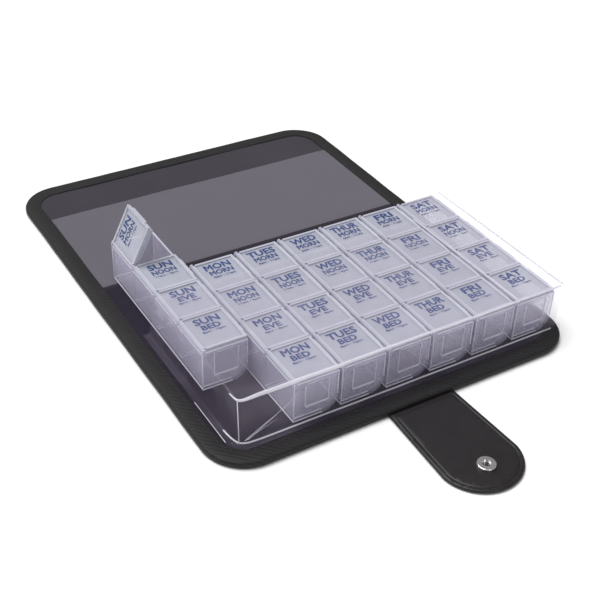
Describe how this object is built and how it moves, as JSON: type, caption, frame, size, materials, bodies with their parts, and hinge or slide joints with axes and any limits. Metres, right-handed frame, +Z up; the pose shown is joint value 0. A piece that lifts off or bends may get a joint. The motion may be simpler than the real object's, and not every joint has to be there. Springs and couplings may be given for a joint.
{
  "type": "travel pill organizer",
  "caption": "Folding wallet case with a clear sleeve of sliding day trays, each with hinged lids over its compartments, a flat pocket and a snap strap.",
  "frame": {"origin": "middle of the open case and strap, on the surface it lies on", "axes": "+X across the case towards the last tray, +Y from the strap towards the cover's far edge, +Z up"},
  "size_m": [0.2256, 0.3654, 0.053],
  "materials": {
    "leatherette": "fine-grained black leatherette, satin",
    "lining": "smooth dark lining cloth",
    "binding_tape": "ribbed twill tape",
    "board": "pressed stiffening board, hidden",
    "clear_vinyl": "clear soft vinyl, glossy",
    "pocket_film": "clear soft vinyl, slightly hazy",
    "tray_plastic": "frosted translucent polypropylene",
    "lid_plastic": "frosted translucent polypropylene, printed",
    "nickel": "nickel-plated, polished"
  },
  "bodies": {
    "base": {"base_shell": "leatherette", "base_board": "board", "base_lining": "lining", "base_binding": "binding_tape", "sleeve_walls": "clear_vinyl", "sleeve_top": "clear_vinyl"},
    "spine": {"spine_shell": "leatherette", "spine_pad": "board", "spine_lining": "lining", "spine_binding": "binding_tape"},
    "cover": {"cover_shell": "leatherette", "cover_board": "board", "cover_lining": "lining", "cover_binding": "binding_tape", "flat_pocket": "pocket_film", "snap_stud": "nickel", "snap_eyelet": "nickel"},
    "strap_root": {"strap_root": "leatherette"},
    "strap_tip": {"strap_tip": "leatherette", "snap_socket": "nickel", "snap_cap": "nickel"},
    "tray_sun": {"tray_sun": "tray_plastic"},
    "tray_mon": {"tray_mon": "tray_plastic"},
    "tray_tues": {"tray_tues": "tray_plastic"},
    "tray_wed": {"tray_wed": "tray_plastic"},
    "tray_thur": {"tray_thur": "tray_plastic"},
    "tray_fri": {"tray_fri": "tray_plastic"},
    "tray_sat": {"tray_sat": "tray_plastic"},
    "lid_sun_morn": {"lid_sun_morn": "lid_plastic"},
    "lid_sun_noon": {"lid_sun_noon": "lid_plastic"},
    "lid_sun_eve": {"lid_sun_eve": "lid_plastic"},
    "lid_sun_bed": {"lid_sun_bed": "lid_plastic"},
    "lid_mon_morn": {"lid_mon_morn": "lid_plastic"},
    "lid_mon_noon": {"lid_mon_noon": "lid_plastic"},
    "lid_mon_eve": {"lid_mon_eve": "lid_plastic"},
    "lid_mon_bed": {"lid_mon_bed": "lid_plastic"},
    "lid_tues_morn": {"lid_tues_morn": "lid_plastic"},
    "lid_tues_noon": {"lid_tues_noon": "lid_plastic"},
    "lid_tues_eve": {"lid_tues_eve": "lid_plastic"},
    "lid_tues_bed": {"lid_tues_bed": "lid_plastic"},
    "lid_wed_morn": {"lid_wed_morn": "lid_plastic"},
    "lid_wed_noon": {"lid_wed_noon": "lid_plastic"},
    "lid_wed_eve": {"lid_wed_eve": "lid_plastic"},
    "lid_wed_bed": {"lid_wed_bed": "lid_plastic"},
    "lid_thur_morn": {"lid_thur_morn": "lid_plastic"},
    "lid_thur_noon": {"lid_thur_noon": "lid_plastic"},
    "lid_thur_eve": {"lid_thur_eve": "lid_plastic"},
    "lid_thur_bed": {"lid_thur_bed": "lid_plastic"},
    "lid_fri_morn": {"lid_fri_morn": "lid_plastic"},
    "lid_fri_noon": {"lid_fri_noon": "lid_plastic"},
    "lid_fri_eve": {"lid_fri_eve": "lid_plastic"},
    "lid_fri_bed": {"lid_fri_bed": "lid_plastic"},
    "lid_sat_morn": {"lid_sat_morn": "lid_plastic"},
    "lid_sat_noon": {"lid_sat_noon": "lid_plastic"},
    "lid_sat_eve": {"lid_sat_eve": "lid_plastic"},
    "lid_sat_bed": {"lid_sat_bed": "lid_plastic"}
  },
  "joints": [
    {"name": "spine_fold", "type": "hinge", "parent": "base", "child": "spine", "pos_m": [0, 0.02297, 0.0044], "axis": [1, 0, 0], "range_deg": [0, 90], "deforming": ["spine_shell", "spine_pad", "spine_lining", "spine_binding", "cover_shell", "cover_lining", "cover_binding", "flat_pocket"]},
    {"name": "cover_fold", "type": "hinge", "parent": "spine", "child": "cover", "pos_m": [0, 0.05517, 0.0044], "axis": [1, 0, 0], "range_deg": [0, 90]},
    {"name": "strap_fold", "type": "hinge", "parent": "base", "child": "strap_root", "pos_m": [0, -0.11203, 0.0044], "axis": [-1, 0, 0], "range_deg": [0, 104]},
    {"name": "strap_tip_fold", "type": "hinge", "parent": "strap_root", "child": "strap_tip", "pos_m": [0, -0.14967, 0.0024], "axis": [-1, 0, 0], "range_deg": [0, 76]},
    {"name": "tray_sun_slide", "type": "slide", "parent": "base", "child": "tray_sun", "axis": [0, -1, 0], "range_m": [0, 0.0439]},
    {"name": "tray_mon_slide", "type": "slide", "parent": "base", "child": "tray_mon", "axis": [0, -1, 0], "range_m": [-0.088, 0]},
    {"name": "tray_tues_slide", "type": "slide", "parent": "base", "child": "tray_tues", "axis": [0, -1, 0], "range_m": [-0.088, 0]},
    {"name": "tray_wed_slide", "type": "slide", "parent": "base", "child": "tray_wed", "axis": [0, -1, 0], "range_m": [-0.088, 0]},
    {"name": "tray_thur_slide", "type": "slide", "parent": "base", "child": "tray_thur", "axis": [0, -1, 0], "range_m": [-0.088, 0]},
    {"name": "tray_fri_slide", "type": "slide", "parent": "base", "child": "tray_fri", "axis": [0, -1, 0], "range_m": [-0.088, 0]},
    {"name": "tray_sat_slide", "type": "slide", "parent": "base", "child": "tray_sat", "axis": [0, -1, 0], "range_m": [-0.088, 0]},
    {"name": "lid_sun_morn_hinge", "type": "hinge", "parent": "tray_sun", "child": "lid_sun_morn", "pos_m": [-0.09173, 0.04987, 0.0291], "axis": [0, 1, 0], "range_deg": [0, 64]},
    {"name": "lid_mon_morn_hinge", "type": "hinge", "parent": "tray_mon", "child": "lid_mon_morn", "pos_m": [-0.06323, 0.00597, 0.0291], "axis": [0, 1, 0], "range_deg": [-105, 0]},
    {"name": "lid_tues_morn_hinge", "type": "hinge", "parent": "tray_tues", "child": "lid_tues_morn", "pos_m": [-0.03472, 0.00597, 0.0291], "axis": [0, 1, 0], "range_deg": [-105, 0]},
    {"name": "lid_wed_morn_hinge", "type": "hinge", "parent": "tray_wed", "child": "lid_wed_morn", "pos_m": [-0.00622, 0.00597, 0.0291], "axis": [0, 1, 0], "range_deg": [-105, 0]},
    {"name": "lid_thur_morn_hinge", "type": "hinge", "parent": "tray_thur", "child": "lid_thur_morn", "pos_m": [0.02227, 0.00597, 0.0291], "axis": [0, 1, 0], "range_deg": [-105, 0]},
    {"name": "lid_fri_morn_hinge", "type": "hinge", "parent": "tray_fri", "child": "lid_fri_morn", "pos_m": [0.05078, 0.00597, 0.0291], "axis": [0, 1, 0], "range_deg": [-105, 0]},
    {"name": "lid_sat_morn_hinge", "type": "hinge", "parent": "tray_sat", "child": "lid_sat_morn", "pos_m": [0.07927, 0.00597, 0.0291], "axis": [0, 1, 0], "range_deg": [-105, 0]},
    {"name": "lid_sun_noon_hinge", "type": "hinge", "parent": "tray_sun", "child": "lid_sun_noon", "pos_m": [-0.09173, 0.02107, 0.0291], "axis": [0, 1, 0], "range_deg": [-105, 0]},
    {"name": "lid_mon_noon_hinge", "type": "hinge", "parent": "tray_mon", "child": "lid_mon_noon", "pos_m": [-0.06323, -0.02283, 0.0291], "axis": [0, 1, 0], "range_deg": [-105, 0], "deforming": ["sleeve_top"]},
    {"name": "lid_tues_noon_hinge", "type": "hinge", "parent": "tray_tues", "child": "lid_tues_noon", "pos_m": [-0.03472, -0.02283, 0.0291], "axis": [0, 1, 0], "range_deg": [-105, 0]},
    {"name": "lid_wed_noon_hinge", "type": "hinge", "parent": "tray_wed", "child": "lid_wed_noon", "pos_m": [-0.00622, -0.02283, 0.0291], "axis": [0, 1, 0], "range_deg": [-105, 0]},
    {"name": "lid_thur_noon_hinge", "type": "hinge", "parent": "tray_thur", "child": "lid_thur_noon", "pos_m": [0.02227, -0.02283, 0.0291], "axis": [0, 1, 0], "range_deg": [-105, 0]},
    {"name": "lid_fri_noon_hinge", "type": "hinge", "parent": "tray_fri", "child": "lid_fri_noon", "pos_m": [0.05078, -0.02283, 0.0291], "axis": [0, 1, 0], "range_deg": [-105, 0]},
    {"name": "lid_sat_noon_hinge", "type": "hinge", "parent": "tray_sat", "child": "lid_sat_noon", "pos_m": [0.07927, -0.02283, 0.0291], "axis": [0, 1, 0], "range_deg": [-105, 0]},
    {"name": "lid_sun_eve_hinge", "type": "hinge", "parent": "tray_sun", "child": "lid_sun_eve", "pos_m": [-0.09173, -0.00773, 0.0291], "axis": [0, 1, 0], "range_deg": [-105, 0]},
    {"name": "lid_mon_eve_hinge", "type": "hinge", "parent": "tray_mon", "child": "lid_mon_eve", "pos_m": [-0.06323, -0.05163, 0.0291], "axis": [0, 1, 0], "range_deg": [-105, 0]},
    {"name": "lid_tues_eve_hinge", "type": "hinge", "parent": "tray_tues", "child": "lid_tues_eve", "pos_m": [-0.03472, -0.05163, 0.0291], "axis": [0, 1, 0], "range_deg": [-105, 0]},
    {"name": "lid_wed_eve_hinge", "type": "hinge", "parent": "tray_wed", "child": "lid_wed_eve", "pos_m": [-0.00622, -0.05163, 0.0291], "axis": [0, 1, 0], "range_deg": [-105, 0]},
    {"name": "lid_thur_eve_hinge", "type": "hinge", "parent": "tray_thur", "child": "lid_thur_eve", "pos_m": [0.02227, -0.05163, 0.0291], "axis": [0, 1, 0], "range_deg": [-105, 0]},
    {"name": "lid_fri_eve_hinge", "type": "hinge", "parent": "tray_fri", "child": "lid_fri_eve", "pos_m": [0.05078, -0.05163, 0.0291], "axis": [0, 1, 0], "range_deg": [-105, 0]},
    {"name": "lid_sat_eve_hinge", "type": "hinge", "parent": "tray_sat", "child": "lid_sat_eve", "pos_m": [0.07927, -0.05163, 0.0291], "axis": [0, 1, 0], "range_deg": [-105, 0]},
    {"name": "lid_sun_bed_hinge", "type": "hinge", "parent": "tray_sun", "child": "lid_sun_bed", "pos_m": [-0.09173, -0.03653, 0.0291], "axis": [0, 1, 0], "range_deg": [-105, 0]},
    {"name": "lid_mon_bed_hinge", "type": "hinge", "parent": "tray_mon", "child": "lid_mon_bed", "pos_m": [-0.06323, -0.08043, 0.0291], "axis": [0, 1, 0], "range_deg": [-105, 0]},
    {"name": "lid_tues_bed_hinge", "type": "hinge", "parent": "tray_tues", "child": "lid_tues_bed", "pos_m": [-0.03472, -0.08043, 0.0291], "axis": [0, 1, 0], "range_deg": [-105, 0]},
    {"name": "lid_wed_bed_hinge", "type": "hinge", "parent": "tray_wed", "child": "lid_wed_bed", "pos_m": [-0.00622, -0.08043, 0.0291], "axis": [0, 1, 0], "range_deg": [-105, 0]},
    {"name": "lid_thur_bed_hinge", "type": "hinge", "parent": "tray_thur", "child": "lid_thur_bed", "pos_m": [0.02227, -0.08043, 0.0291], "axis": [0, 1, 0], "range_deg": [-105, 0]},
    {"name": "lid_fri_bed_hinge", "type": "hinge", "parent": "tray_fri", "child": "lid_fri_bed", "pos_m": [0.05078, -0.08043, 0.0291], "axis": [0, 1, 0], "range_deg": [-105, 0]},
    {"name": "lid_sat_bed_hinge", "type": "hinge", "parent": "tray_sat", "child": "lid_sat_bed", "pos_m": [0.07927, -0.08043, 0.0291], "axis": [0, 1, 0], "range_deg": [-105, 0]}
  ],
  "couplings": [
    {"joint": "cover_fold", "follows": "spine_fold", "ratio": 1},
    {"joint": "tray_sun_slide", "follows": "spine_fold", "m_per_rad": 0.027948},
    {"joint": "lid_sun_morn_hinge", "follows": "spine_fold", "ratio": 0.71111}
  ]
}
